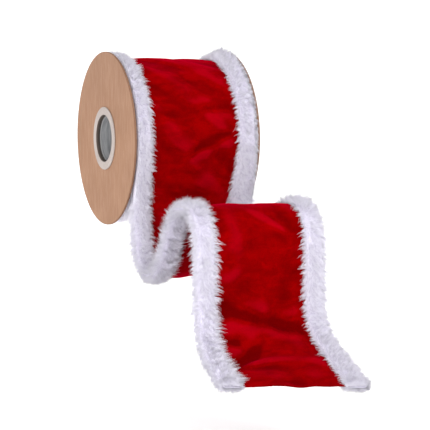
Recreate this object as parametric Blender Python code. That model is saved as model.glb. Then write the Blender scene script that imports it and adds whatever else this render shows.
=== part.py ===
"""Reel of wide plush ribbon with faux fur edges, its free end hanging in an S-curve.

The origin is at the middle of the reel's bore. +X runs along the bore to the right-hand
flange, -Y is the side on which the ribbon comes off, and +Z is up.
"""

import math

import bmesh
import bpy
import numpy as np
from mathutils import Vector

MM = 0.001
CLEAR = 0.3 * MM  # between pieces that touch

# Reel
FLANGE_RADIUS = 70.0 * MM
FLANGE_THICK = 1.6 * MM
FLANGE_CHAMFER = 0.2 * MM
CORE_BORE_RADIUS = 18.3 * MM
CORE_WALL = 3.2 * MM
RING_STEP = 0.75 * MM  # from the core's bore to the ring's, so that the ring rests on the core's end
RING_WALL = 1.0 * MM
RIM_WIDTH = 5.35 * MM  # on the flange, round its hole
RIM_THICK = 0.8 * MM
RIM_ROUND = 0.25 * MM
TAPE_THICK = 0.2 * MM
TAPE_WIDTH = 48.0 * MM  # along the reel
TAPE_WRAP = math.radians(50)

# Ribbon, flat
RIBBON_WIDTH = 101.6 * MM
SIDE_ROOM = 0.85 * MM  # between the ribbon's edge and a flange
FUR_BAND = 17.0 * MM
FUR_HALF = 6.5 * MM  # the trim's thickness on each side of the ribbon's middle
VELVET_THICK = 1.8 * MM
HEM_DEPTH = 5.0 * MM  # from the trim's outer edge to the edge of the velvet inside it
WIRE_RADIUS = 0.4 * MM

# Ribbon on the reel
ROLL_RADIUS = 64.5 * MM  # over the velvet, where the free end leaves
TURN_PITCH = 2.8 * MM
LEAVING_ANGLE = math.radians(8)  # below the front of the roll

# Free end: (Y, Z) of the ribbon's middle in millimetres, on from where it leaves the roll
ROUTE = [
    (-60.2, -26.0),
    (-57.9, -46.0),
    (-57.3, -66.0),
    (-60.7, -83.0),
    (-70.5, -97.5),
    (-87.0, -103.2),
    (-104.0, -96.3),
    (-117.5, -80.0),
    (-130.0, -62.0),
    (-144.0, -49.5),
    (-160.0, -46.0),
    (-176.0, -50.0),
    (-185.5, -63.5),
    (-187.5, -85.0),
    (-187.5, -108.0),
    (-190.0, -128.0),
    (-198.5, -142.0),
    (-214.0, -152.5),
    (-236.0, -162.5),
    (-262.0, -173.5),
    (-290.0, -185.0),
]
CREST = 10  # the place in ROUTE of the top of the hump
TILT = 5.0 * MM  # the right-hand edge's rise, and the left-hand edge's drop, at the end
TILT_FROM = 13  # the places in ROUTE between which the tilt comes in
TILT_TO = 17
CUT_LEFT_Y = -233.0 * MM  # the slanted cut crosses the ribbon's two edges here
CUT_RIGHT_Y = -262.0 * MM

# How far the free end moves
LOOP_LIFT = math.radians(30)
TAIL_OPEN = math.radians(35)
TAIL_CLOSE = math.radians(15)

# Smoothness
ROUND_SIDES = 72
FLANGE_SIDES = 96
ROLL_SIDES = 72
TAPE_SIDES = 10
TRIM_CORNERS = 5  # on each quarter of the trim's section
TRIM_SQUARENESS = 0.6
ROUTE_STEP = 5.5 * MM

# Worked out from the above
REEL_INSIDE = RIBBON_WIDTH + 2 * SIDE_ROOM
FLANGE_MIDDLE = REEL_INSIDE / 2 + FLANGE_THICK / 2
REEL_FACE = REEL_INSIDE / 2 + FLANGE_THICK
CORE_RADIUS = CORE_BORE_RADIUS + CORE_WALL
RING_BORE_RADIUS = CORE_BORE_RADIUS + RING_STEP
RING_RADIUS = RING_BORE_RADIUS + RING_WALL
RIM_RADIUS = RING_RADIUS + RIM_WIDTH
FLANGE_HOLE_RADIUS = RING_RADIUS + CLEAR
TAPE_RADIUS = CORE_RADIUS + CLEAR
ROLL_HOLE_RADIUS = TAPE_RADIUS + TAPE_THICK + CLEAR
MIDDLE_RADIUS = ROLL_RADIUS - TURN_PITCH / 2
EDGE = RIBBON_WIDTH / 2
VELVET_EDGE = EDGE - HEM_DEPTH
FUR_INNER = EDGE - FUR_BAND
SLOT_HALF = VELVET_THICK / 2 + CLEAR
SLOT_END = VELVET_EDGE + 4 * CLEAR + 2 * WIRE_RADIUS
WIRE_AT = VELVET_EDGE + 2 * CLEAR + WIRE_RADIUS
PRESSED_BACK = SLOT_HALF + 1.5 * CLEAR  # the trim's back where it lies on the roll


def clear_scene():
    for obj in list(bpy.data.objects):
        bpy.data.objects.remove(obj)


def material(name, colour, roughness, metallic=0.0):
    made = bpy.data.materials.new(name)
    made.use_nodes = True
    shader = made.node_tree.nodes["Principled BSDF"]
    shader.inputs["Base Color"].default_value = (*colour, 1.0)
    shader.inputs["Roughness"].default_value = roughness
    shader.inputs["Metallic"].default_value = metallic
    return made


def add_object(name, bm, finish, parent=None):
    """A named object from a bmesh in world coordinates, with its origin on its parent's."""
    bmesh.ops.remove_doubles(bm, verts=bm.verts, dist=0.001 * MM)
    bmesh.ops.recalc_face_normals(bm, faces=bm.faces)
    mesh = bpy.data.meshes.new(name)
    bm.to_mesh(mesh)
    bm.free()
    mesh.shade_smooth()
    mesh.set_sharp_from_angle(angle=math.radians(35))
    mesh.materials.append(finish)
    obj = bpy.data.objects.new(name, mesh)
    bpy.context.scene.collection.objects.link(obj)
    if parent:
        mesh.transform(parent.matrix_world.inverted())
        obj.parent = parent
    return obj


def add_empty(name, place, parent=None):
    empty = bpy.data.objects.new(name, None)
    bpy.context.scene.collection.objects.link(empty)
    if parent:
        empty.parent = parent
        place = Vector(place) - parent.matrix_world.translation
    empty.location = place
    bpy.context.view_layer.update()
    return empty


# ---- the reel ----


def turned(outline, sides):
    """A closed outline of (x, radius) points, spun round the X axis."""
    bm = bmesh.new()
    points = [bm.verts.new((x, 0, radius)) for x, radius in outline]
    edges = [bm.edges.new((a, b)) for a, b in zip(points, points[1:] + points[:1])]
    axis = {"axis": (1, 0, 0), "cent": (0, 0, 0)}
    bmesh.ops.spin(bm, geom=points + edges, angle=2 * math.pi, steps=sides, **axis)
    return bm


def flange_outline(side):
    half = FLANGE_THICK / 2
    corners = [
        (-half, FLANGE_HOLE_RADIUS),
        (-half, FLANGE_RADIUS - FLANGE_CHAMFER),
        (-half + FLANGE_CHAMFER, FLANGE_RADIUS),
        (half - FLANGE_CHAMFER, FLANGE_RADIUS),
        (half, FLANGE_RADIUS - FLANGE_CHAMFER),
        (half, FLANGE_HOLE_RADIUS),
    ]
    return [(side * FLANGE_MIDDLE + x, radius) for x, radius in corners]


def core_outline():
    half = REEL_INSIDE / 2 - CLEAR
    return [
        (-half, CORE_BORE_RADIUS),
        (-half, CORE_RADIUS),
        (half, CORE_RADIUS),
        (half, CORE_BORE_RADIUS),
    ]


def ring_outline(side):
    """Rim and collar of a hub ring: the rim lies on the flange, the collar goes through it."""
    seat = REEL_FACE + CLEAR
    outside = seat + RIM_THICK
    corners = [
        (REEL_INSIDE / 2, RING_BORE_RADIUS),
        (outside - RIM_ROUND, RING_BORE_RADIUS),
        (outside, RING_BORE_RADIUS + RIM_ROUND),
        (outside, RIM_RADIUS - RIM_ROUND),
        (outside - RIM_ROUND, RIM_RADIUS),
        (seat, RIM_RADIUS),
        (seat, RING_RADIUS),
        (REEL_INSIDE / 2, RING_RADIUS),
    ]
    return [(side * x, radius) for x, radius in corners]


def tape_patch():
    """The strip of tape that holds the ribbon's first end on the core."""
    bm = bmesh.new()
    rows = []
    for i in range(TAPE_SIDES + 1):
        angle = TAPE_WRAP * i / TAPE_SIDES
        row = []
        for x in (-TAPE_WIDTH / 2, TAPE_WIDTH / 2):
            for radius in (TAPE_RADIUS, TAPE_RADIUS + TAPE_THICK):
                place = (x, radius * math.sin(angle), radius * math.cos(angle))
                row.append(bm.verts.new(place))
        rows.append([row[0], row[1], row[3], row[2]])
    join_rows(bm, rows)
    return bm


def join_rows(bm, rows):
    """Closes a tube of rows that each go once round it."""
    for before, after in zip(rows, rows[1:]):
        for i in range(len(before)):
            k = (i + 1) % len(before)
            bm.faces.new((before[i], before[k], after[k], after[i]))
    bm.faces.new(rows[0])
    bm.faces.new(list(reversed(rows[-1])))


def make_reel(kraft, board, plastic, tape):
    for name, side in (("left", -1), ("right", 1)):
        add_object(f"{name}_flange", turned(flange_outline(side), FLANGE_SIDES), kraft)
        add_object(f"{name}_hub_ring", turned(ring_outline(side), ROUND_SIDES), plastic)
    add_object("core_tube", turned(core_outline(), ROUND_SIDES), board)
    add_object("start_tape", tape_patch(), tape)


# ---- the route of the free end ----


class Route:
    """A smooth curve in the YZ plane, read by arc length. It sets off along `start`."""

    def __init__(self, points, start):
        self.places = np.array(points, float)
        self.steps = np.linalg.norm(np.diff(self.places, axis=0), axis=1)
        self.knots = np.concatenate([[0], np.cumsum(self.steps)])
        self.bends = self.solve_bends(np.array(start))
        self.fine = np.linspace(0, self.knots[-1], 2000)
        line = np.array([self.at_knot(k) for k in self.fine])
        spans = np.linalg.norm(np.diff(line, axis=0), axis=1)
        self.run = np.concatenate([[0], np.cumsum(spans)])
        self.length = self.run[-1]

    def solve_bends(self, start):
        """The curve's second derivative at each point of a cubic spline, free at the far end."""
        count = len(self.places)
        slopes = np.diff(self.places, axis=0) / self.steps[:, None]
        system = np.zeros((count, count))
        wanted = np.zeros((count, 2))
        system[0, :2] = 2 * self.steps[0], self.steps[0]
        wanted[0] = 6 * (slopes[0] - start)
        for i in range(1, count - 1):
            before, after = self.steps[i - 1], self.steps[i]
            system[i, i - 1 : i + 2] = before, 2 * (before + after), after
            wanted[i] = 6 * (slopes[i] - slopes[i - 1])
        system[-1, -1] = 1
        return np.linalg.solve(system, wanted)

    def at_knot(self, knot):
        i = int(np.clip(np.searchsorted(self.knots, knot) - 1, 0, len(self.steps) - 1))
        a, b, width = knot - self.knots[i], self.knots[i + 1] - knot, self.steps[i]
        low, high = self.bends[i] / 6, self.bends[i + 1] / 6
        curved = (low * b**3 + high * a**3) / width
        straight = (self.places[i] / width - low * width) * b
        return curved + straight + (self.places[i + 1] / width - high * width) * a

    def at(self, s):
        return self.at_knot(float(np.interp(s, self.run, self.fine)))

    def along(self, s):
        reach = 0.2 * MM
        ahead = self.at(min(s + reach, self.length)) - self.at(max(s - reach, 0))
        return ahead / np.linalg.norm(ahead)

    def up(self, s):
        """Out of the ribbon's plush face."""
        along = self.along(s)
        return np.array([along[1], -along[0]])

    def length_to(self, index):
        return float(np.interp(self.knots[index], self.fine, self.run))


START = (-math.cos(LEAVING_ANGLE) * MIDDLE_RADIUS, -math.sin(LEAVING_ANGLE) * MIDDLE_RADIUS)
START_ALONG = (math.sin(LEAVING_ANGLE), -math.cos(LEAVING_ANGLE))
route = Route([START] + [(y * MM, z * MM) for y, z in ROUTE], START_ALONG)
CREST_LENGTH = route.length_to(CREST + 1)
TILT_START = route.length_to(TILT_FROM + 1)
TILT_END = route.length_to(TILT_TO + 1)


def tilt(s):
    ramp = min(max((s - TILT_START) / (TILT_END - TILT_START), 0.0), 1.0)
    return TILT * ramp * ramp * (3 - 2 * ramp)


def back_depth(s):
    """The trim's depth behind the ribbon's middle: thin on the roll, full where it's free."""
    if s > CREST_LENGTH / 2:
        return FUR_HALF
    off_roll = max(0.0, float(np.linalg.norm(route.at(s))) - MIDDLE_RADIUS)
    return min(FUR_HALF, PRESSED_BACK + off_roll / 2)


# ---- the ribbon on the reel ----


def room_below(outer_turns):
    """The radius that stays clear of the free end's trim, by angle below the leaving line."""
    stations = np.linspace(0, 45 * MM, 60)
    backs = np.array([route.at(s) - route.up(s) * back_depth(s) for s in stations])
    angles = np.arctan2(-backs[:, 1], -backs[:, 0]) - LEAVING_ANGLE
    radii = np.linalg.norm(backs, axis=1) - 1.5 * CLEAR
    return float(np.interp(outer_turns, angles, radii))


def roll_outline(outer, under_trim):
    """(Y, Z) points round the wound ribbon, whose radius falls by one pitch in a turn."""
    points = []
    for i in range(ROLL_SIDES + 1):
        turn = 2 * math.pi * i / ROLL_SIDES
        angle = math.pi + LEAVING_ANGLE - turn  # from the front, over the top
        radius = outer - TURN_PITCH * turn / (2 * math.pi)
        below = 2 * math.pi - turn
        if under_trim and below < math.radians(60):
            radius = min(radius, room_below(below))
        points.append((radius * math.cos(angle), radius * math.sin(angle)))
    return points


def wound(x_from, x_to, outline):
    """The wound ribbon between two places along the reel, with the core's hole through it."""
    bm = bmesh.new()
    rims = []
    for x in (x_from, x_to):
        outer = [bm.verts.new((x, y, z)) for y, z in outline]
        inner = []
        for i in range(ROLL_SIDES):
            angle = math.pi + LEAVING_ANGLE - 2 * math.pi * i / ROLL_SIDES
            y, z = ROLL_HOLE_RADIUS * math.cos(angle), ROLL_HOLE_RADIUS * math.sin(angle)
            inner.append(bm.verts.new((x, y, z)))
        rims.append((outer, inner))
    (outer_a, inner_a), (outer_b, inner_b) = rims
    for i in range(ROLL_SIDES):
        k = (i + 1) % ROLL_SIDES
        bm.faces.new((outer_a[i], outer_a[i + 1], outer_b[i + 1], outer_b[i]))
        bm.faces.new((inner_a[i], inner_b[i], inner_b[k], inner_a[k]))
        if k:
            bm.faces.new((outer_a[i], inner_a[i], inner_a[k], outer_a[k]))
            bm.faces.new((outer_b[i], outer_b[k], inner_b[k], inner_b[i]))
    bm.faces.new((outer_a[-1], outer_a[0], outer_b[0], outer_b[-1]))
    bm.faces.new((outer_a[-2], inner_a[-1], inner_a[0], outer_a[0], outer_a[-1]))
    bm.faces.new((outer_b[-1], outer_b[0], inner_b[0], inner_b[-1], outer_b[-2]))
    return bm


def make_wound_ribbon(velvet, fur):
    seam = CLEAR / 2
    plain = roll_outline(ROLL_RADIUS, False)
    full = roll_outline(MIDDLE_RADIUS + FUR_HALF, True)
    add_object("wound_velvet", wound(-FUR_INNER + seam, FUR_INNER - seam, plain), velvet)
    add_object("wound_left_fur", wound(-EDGE, -FUR_INNER - seam, full), fur)
    add_object("wound_right_fur", wound(FUR_INNER + seam, EDGE, full), fur)


# ---- the free end ----


def swept(section, start, end, face_angle, back_angle):
    """Sweeps section(s), a list of (x, height over the ribbon's middle), along the route.
    The first end slopes back from a fold line, by one angle on its face and one on its back."""
    bm = bmesh.new()
    count = max(2, math.ceil((end - start) / ROUTE_STEP) + 1)
    rows = []
    for s in np.linspace(start, end, count):
        (y, z), (up_y, up_z) = route.at(s), route.up(s)
        lean = tilt(s) / EDGE
        row = [(x, y + up_y * h, z + up_z * h + lean * x) for x, h in section(s)]
        rows.append([bm.verts.new(place) for place in row])
    along = Vector((0, *route.along(start)))
    heights = [h for _x, h in section(start)]
    for vert, h in zip(rows[0], heights):
        slope = math.tan(face_angle if h > 0 else back_angle)
        vert.co += along * (CLEAR / 2 + abs(h) * slope)
    join_rows(bm, rows)
    first, second = (i for i, h in enumerate(heights) if abs(h) < 1e-9)
    end_cap = next(f for f in bm.faces if set(f.verts) == set(rows[0]))
    bmesh.utils.face_split(end_cap, rows[0][first], rows[0][second])
    return bm


def cut(bm, place, away):
    """Cuts off what lies on the away side of a plane, and closes the cut."""
    everything = bm.verts[:] + bm.edges[:] + bm.faces[:]
    plane = {"plane_co": place, "plane_no": away, "dist": 0.0001 * MM}
    bmesh.ops.bisect_plane(bm, geom=everything, clear_outer=True, **plane)
    bmesh.ops.holes_fill(bm, edges=[e for e in bm.edges if e.is_boundary], sides=0)


def velvet_section(_s):
    half = VELVET_THICK / 2
    right = [(VELVET_EDGE, h) for h in (-half, 0, half)]
    return right + [(-x, h) for x, h in reversed(right)]


def trim_section(side):
    """Fur folded round the ribbon's edge, with a slot for the velvet and the wire."""
    centre, half = (FUR_INNER + EDGE) / 2, FUR_BAND / 2
    arch = []
    for i in range(1, 2 * TRIM_CORNERS):
        angle = math.pi * (1 - i / (2 * TRIM_CORNERS))
        across = math.copysign(abs(math.cos(angle)) ** TRIM_SQUARENESS, math.cos(angle))
        arch.append((centre + half * across, math.sin(angle) ** TRIM_SQUARENESS))

    def section(s):
        depth = back_depth(s)
        face = [(x, SLOT_HALF + (FUR_HALF - SLOT_HALF) * h) for x, h in arch]
        back = [(x, -SLOT_HALF - (depth - SLOT_HALF) * h) for x, h in reversed(arch)]
        points = [(FUR_INNER, SLOT_HALF), *face, (EDGE, 0), *back, (FUR_INNER, -SLOT_HALF)]
        points += [(SLOT_END, h) for h in (-SLOT_HALF, 0, SLOT_HALF)]
        return [(side * x, h) for x, h in points]

    return section


def wire_section(side):
    ring = [2 * math.pi * i / 6 for i in range(6)]
    points = [(math.cos(a) * WIRE_RADIUS, math.sin(a) * WIRE_RADIUS) for a in ring]
    return lambda _s: [(side * WIRE_AT + x, h) for x, h in points]


def make_free_end(velvet, fur, wire):
    pieces = {
        "velvet": (velvet_section, velvet),
        "left_fur": (trim_section(-1), fur),
        "right_fur": (trim_section(1), fur),
        "left_wire": (wire_section(-1), wire),
        "right_wire": (wire_section(1), wire),
    }
    leaving_line = add_empty("leaving_line", (0, *route.at(0)))
    crest_line = add_empty("crest_line", (0, *route.at(CREST_LENGTH)), leaving_line)
    beyond = (CUT_RIGHT_Y - CUT_LEFT_Y, -2 * EDGE, 0)
    for name, (section, finish) in pieces.items():
        loop = swept(section, 0, CREST_LENGTH - CLEAR, LOOP_LIFT, 0)
        add_object(f"loop_{name}", loop, finish, leaving_line)
        tail = swept(section, CREST_LENGTH, route.length, TAIL_OPEN, TAIL_CLOSE)
        cut(tail, (-EDGE, CUT_LEFT_Y, 0), beyond)
        add_object(f"tail_{name}", tail, finish, crest_line)


def main():
    clear_scene()
    kraft = material("kraft_board", (0.52, 0.29, 0.18), 0.85)
    board = material("grey_board", (0.18, 0.18, 0.19), 0.8)
    plastic = material("ring_plastic", (0.60, 0.52, 0.47), 0.45)
    tape = material("clear_tape", (0.75, 0.72, 0.62), 0.3)
    velvet = material("red_velvet", (0.33, 0.002, 0.004), 0.9)
    fur = material("white_fur", (0.85, 0.83, 0.90), 0.95)
    wire = material("edge_wire", (0.55, 0.55, 0.55), 0.35, 1.0)
    make_reel(kraft, board, plastic, tape)
    make_wound_ribbon(velvet, fur)
    make_free_end(velvet, fur, wire)


main()
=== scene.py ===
# Reel of wide plush ribbon with fur edges: the looks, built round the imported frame.
import math

import bpy
import numpy as np
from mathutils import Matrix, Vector


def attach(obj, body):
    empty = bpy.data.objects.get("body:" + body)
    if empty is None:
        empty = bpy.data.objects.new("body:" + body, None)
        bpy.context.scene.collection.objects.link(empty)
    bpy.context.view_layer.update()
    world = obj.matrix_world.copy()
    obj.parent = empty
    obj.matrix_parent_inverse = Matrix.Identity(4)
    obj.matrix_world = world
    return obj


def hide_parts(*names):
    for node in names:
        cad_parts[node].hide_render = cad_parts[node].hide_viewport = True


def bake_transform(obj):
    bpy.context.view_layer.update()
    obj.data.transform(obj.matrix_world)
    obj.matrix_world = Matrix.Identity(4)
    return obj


mm = 0.001
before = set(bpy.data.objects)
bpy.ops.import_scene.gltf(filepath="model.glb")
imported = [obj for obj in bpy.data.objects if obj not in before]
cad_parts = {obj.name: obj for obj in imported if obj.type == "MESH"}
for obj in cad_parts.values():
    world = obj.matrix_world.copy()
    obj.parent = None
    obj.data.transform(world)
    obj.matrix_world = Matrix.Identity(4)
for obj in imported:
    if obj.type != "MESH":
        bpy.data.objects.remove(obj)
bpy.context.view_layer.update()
dice = np.random.default_rng(41)
print("frame loaded")

# ---- the ribbon's line, as the frame has it

ribbon = {
    "halfWidth": 50.8 * mm,
    "furBand": 17.0 * mm,
    "hemDepth": 5.0 * mm,  # the velvet's edge lies this deep inside the trim
    "rollRadius": 63.1 * mm,  # of the ribbon's middle where it leaves
    "turnPitch": 2.8 * mm,
    "leavingAngle": math.radians(8),
    "route": [  # millimetres, towards the front and up
        (-60.2, -26.0), (-57.9, -46.0), (-57.3, -66.0), (-60.7, -83.0), (-70.5, -97.5),
        (-87.0, -103.2), (-104.0, -96.3), (-117.5, -80.0), (-130.0, -62.0), (-144.0, -49.5),
        (-160.0, -46.0), (-176.0, -50.0), (-185.5, -63.5), (-187.5, -85.0), (-187.5, -108.0),
        (-190.0, -128.0), (-198.5, -142.0), (-214.0, -152.5), (-236.0, -162.5),
        (-262.0, -173.5), (-290.0, -185.0),
    ],
    "splitAt": 8,  # the place on the route where the upper length meets the lower one
    "tilt": 5.0 * mm,
    "tiltPlaces": (14, 18),
    "cutLeft": -233.0 * mm,
    "cutRight": -262.0 * mm,
}


def smoothStep(t):
    t = np.clip(t, 0, 1)
    return t * t * (3 - 2 * t)


def curveThrough(places, setOff):
    # a cubic curve, free at its far end, as knots and a function of them
    places = np.array(places, float)
    gaps = np.linalg.norm(np.diff(places, axis=0), axis=1)
    knots = np.concatenate([[0], np.cumsum(gaps)])
    slopes = np.diff(places, axis=0) / gaps[:, None]
    count = len(places)
    system, wanted = np.zeros((count, count)), np.zeros((count, 2))
    system[0, :2] = 2 * gaps[0], gaps[0]
    wanted[0] = 6 * (slopes[0] - setOff)
    for i in range(1, count - 1):
        system[i, i - 1 : i + 2] = gaps[i - 1], 2 * (gaps[i - 1] + gaps[i]), gaps[i]
        wanted[i] = 6 * (slopes[i] - slopes[i - 1])
    system[-1, -1] = 1
    bends = np.linalg.solve(system, wanted)

    def at(knot):
        i = np.clip(np.searchsorted(knots, knot) - 1, 0, count - 2)
        a, b, gap = knot - knots[i], knots[i + 1] - knot, gaps[i]
        a, b, gap = a[:, None], b[:, None], gap[:, None]
        low, high = bends[i] / 6, bends[i + 1] / 6
        curved = (low * b**3 + high * a**3) / gap
        return curved + (places[i] / gap - low * gap) * b + (places[i + 1] / gap - high * gap) * a

    return knots, at


def layRibbonLine():
    # one turn on the roll, then the free end, as tables by length; 0 is where it leaves
    leave, radius = ribbon["leavingAngle"], ribbon["rollRadius"]
    turns = np.linspace(-1, 0, 1441)[:-1]
    angle = leave + turns * 2 * math.pi
    onRoll = radius + ribbon["turnPitch"] * turns
    wound = np.stack([-np.cos(angle) * onRoll, -np.sin(angle) * onRoll], 1)
    start = (-math.cos(leave) * radius, -math.sin(leave) * radius)
    stops = [start] + [(y * mm, z * mm) for y, z in ribbon["route"]]
    knots, at = curveThrough(stops, np.array([math.sin(leave), -math.cos(leave)]))
    fine = np.linspace(0, knots[-1], 2400)
    free = at(fine)
    line = np.concatenate([wound, free])
    length = np.concatenate([[0], np.cumsum(np.linalg.norm(np.diff(line, axis=0), axis=1))])
    length -= length[len(wound)]
    along = np.gradient(line, axis=0)
    along /= np.linalg.norm(along, axis=1)[:, None]
    tables = {"length": length, "y": line[:, 0], "z": line[:, 1]}
    tables["upY"], tables["upZ"] = along[:, 1], -along[:, 0]
    stopLengths = np.interp(knots, fine, length[len(wound) :])
    tiltFrom, tiltTo = (stopLengths[i] for i in ribbon["tiltPlaces"])
    ramp = smoothStep((length - tiltFrom) / (tiltTo - tiltFrom))
    tables["lean"] = ramp * ribbon["tilt"] / ribbon["halfWidth"]
    return tables, stopLengths


lineTables, stopLengths = layRibbonLine()
crestLength, endLength = stopLengths[11], stopLengths[-1]
splitLength = stopLengths[ribbon["splitAt"]]
turnStart = lineTables["length"][0]


def read(name, length):
    return np.interp(length, lineTables["length"], lineTables[name])


def onRibbon(length, across, height):
    # a point on the ribbon: along it, across it from its middle, and over its plush face
    y = read("y", length) + read("upY", length) * height
    z = read("z", length) + read("upZ", length) * height + read("lean", length) * across
    return np.stack([across + 0 * y, y, z], -1)


def cutLength(across, height):
    # how far along the ribbon the slanted cut comes, at this place across it and over it
    share = (across + ribbon["halfWidth"]) / (2 * ribbon["halfWidth"])
    cutY = ribbon["cutLeft"] + (ribbon["cutRight"] - ribbon["cutLeft"]) * share
    far = np.linspace(endLength - 110 * mm, endLength, 900)
    y, up = read("y", far), read("upY", far)
    across, height, cutY = np.broadcast_arrays(across, height, cutY)
    found = [np.interp(-c, -(y + up * h), far) for h, c in zip(height.ravel(), cutY.ravel())]
    return np.array(found).reshape(cutY.shape)


# ---- shader maths


class Signal:
    # one output of a material's nodes, which Python's own operators work on
    def __init__(self, finish, socket):
        self.finish = finish
        self.socket = socket

    def maths(self, operation, *others):
        values = {i + 1: other for i, other in enumerate(others)}
        return self.finish.add("ShaderNodeMath", {"operation": operation}, {0: self, **values})

    def __add__(self, other):
        return self.maths("ADD", other)

    def __sub__(self, other):
        return self.maths("SUBTRACT", other)

    def __mul__(self, other):
        return self.maths("MULTIPLY", other)

    def __rsub__(self, other):
        return (self * -1.0) + other

    __radd__ = __add__
    __rmul__ = __mul__

    def power(self, other):
        return self.maths("POWER", other)

    def absolute(self):
        return self.maths("ABSOLUTE")

    def between(self, low, high):
        settings = {"interpolation_type": "SMOOTHSTEP", "clamp": True}
        return self.finish.add("ShaderNodeMapRange", settings, {0: self, 1: low, 2: high})


class Finish:
    # a material, and the nodes that are added to it
    def __init__(self, name, **constants):
        self.material = bpy.data.materials.new(name)
        self.material.use_nodes = True
        self.tree = self.material.node_tree
        self.shader = self.tree.nodes["Principled BSDF"]
        for socket, value in constants.items():
            self.shader.inputs[socket.replace("_", " ")].default_value = value

    def add(self, kind, settings=None, values=None, output=0):
        node = self.tree.nodes.new(kind)
        for name, value in (settings or {}).items():
            if name == "stops":
                self.setStops(node.color_ramp, value)
            else:
                setattr(node, name, value)
        for socket, value in (values or {}).items():
            self.connect(node.inputs[socket], value)
        return Signal(self, node.outputs[output])

    def setStops(self, ramp, stops):
        while len(ramp.elements) < len(stops):
            ramp.elements.new(0.5)
        for element, (place, colour) in zip(ramp.elements, stops):
            element.position = place
            element.color = (*colour, 1)

    def connect(self, socket, value):
        if isinstance(value, Signal):
            self.tree.links.new(value.socket, socket)
        elif isinstance(value, tuple) and len(value) == 3 and socket.type == "RGBA":
            socket.default_value = (*value, 1)
        else:
            socket.default_value = value

    def place(self, stretch=(1, 1, 1)):
        spot = self.add("ShaderNodeTexCoord", output="Object")
        return self.add("ShaderNodeMapping", None, {0: spot, "Scale": stretch})

    def apart(self, spot, axis):
        return self.add("ShaderNodeSeparateXYZ", None, {0: spot}, output=axis)

    def own(self, name, output="Fac"):
        return self.add("ShaderNodeAttribute", {"attribute_name": name}, output=output)

    def noise(self, spot, scale, detail=2.0, roughness=0.5, distortion=0.0):
        values = {"Vector": spot, "Scale": scale, "Detail": detail}
        values.update({"Roughness": roughness, "Distortion": distortion})
        return self.add("ShaderNodeTexNoise", None, values)

    def mix(self, share, first, second, blend="MIX"):
        settings = {"data_type": "RGBA", "blend_type": blend, "clamp_factor": True}
        return self.add("ShaderNodeMix", settings, {0: share, 6: first, 7: second}, output=2)

    def ramp(self, value, stops):
        return self.add("ShaderNodeValToRGB", {"stops": stops}, {0: value})

    def bump(self, height, distance, strength=1.0, under=None):
        values = {"Height": height, "Distance": distance, "Strength": strength}
        if under is not None:
            values["Normal"] = under
        return self.add("ShaderNodeBump", None, values)

    def wear(self, **links):
        for socket, value in links.items():
            self.connect(self.shader.inputs[socket.replace("_", " ")], value)
        return self.material


def velvetFinish():
    made = Finish("redVelvet", Sheen_Weight=0.6, Sheen_Roughness=0.36, Specular_IOR_Level=0.0)
    made.shader.inputs["Sheen Tint"].default_value = (1.0, 0.0, 0.045, 1)
    spot = made.add("ShaderNodeUVMap", {"uv_map": "cloth"})  # metres along and across the cloth
    brushed = made.noise(spot, 34, 3, 0.55, 0.5)  # where the pile lies one way or the other
    patches = made.noise(spot, 120, 3, 0.6, 0.8)
    pile = made.noise(spot, 1500, 2, 0.6)
    drawnOut = made.add("ShaderNodeMapping", None, {0: spot, "Scale": (3.2, 1, 1)})
    strokes = made.noise(drawnOut, 42, 3, 0.6, 0.6)
    nap = (brushed * 0.3 + patches * 0.3 + strokes * 0.4).between(0.38, 0.64)
    deep, bright = (0.165, 0.0001, 0.0003), (0.268, 0.0001, 0.0006)
    colour = made.mix(nap, deep, bright)
    colour = made.mix(pile.between(0.35, 0.75) * 0.28, colour, (0.095, 0.0001, 0.0003))
    ridge = made.own("ridge")  # how proud the cloth stands: painted highlight along a ridge and painted shade in a valley
    colour = made.mix(ridge.between(0.2, 1.2) * 0.4, colour, (0.43, 0.0004, 0.010))
    colour = made.mix((ridge * -1.0).between(0.1, 1.0) * 0.75, colour, (0.09, 0.0001, 0.0002))
    colour = made.mix(made.own("back"), colour, (0.130, 0.0004, 0.0008))
    rough = nap * 0.12 + 0.78
    fine = made.bump(pile, 0.25 * mm, 0.5)
    rumpled = made.bump(strokes * 0.6 + patches * 0.4, 1.4 * mm, 0.55, fine)
    return made.wear(Base_Color=colour, Roughness=rough, Normal=rumpled)


def furFinish():
    # a hair's colour comes only from how far up it is, and from the hair's own tint
    made = Finish("whiteFur", Sheen_Weight=0.15, Sheen_Roughness=0.7, Specular_IOR_Level=0.05)
    tip, tint = made.own("tip"), made.own("tint")
    # darker towards the root: painted shade deep in the pile
    root, middle, end = (0.62, 0.58, 0.71), (0.88, 0.85, 0.965), (0.92, 0.90, 0.985)
    colour = made.ramp(tip, [(0.0, root), (0.22, middle), (1.0, end)])
    colour = made.mix(tint.between(0.35, 1.0) * 0.5, colour, (0.80, 0.755, 0.90))
    return made.wear(Base_Color=colour, Roughness=0.85 - tip * 0.15)


# where the hub's parts and their painted shade and highlight show: distances from the axis, then from
# the reel's middle
hub = {
    "flangeEdge": (69.4 * mm, 69.9 * mm),
    "collarBore": (19.5 * mm, 19.3 * mm),
    "rimFace": (54.2 * mm, 54.05 * mm),
    "collarEnd": (54 * mm, 51.8 * mm),
    "coreHighlight": (50.2 * mm, 50.4 * mm),
    "coreShade": (50.9 * mm, 51.0 * mm),
}


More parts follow.
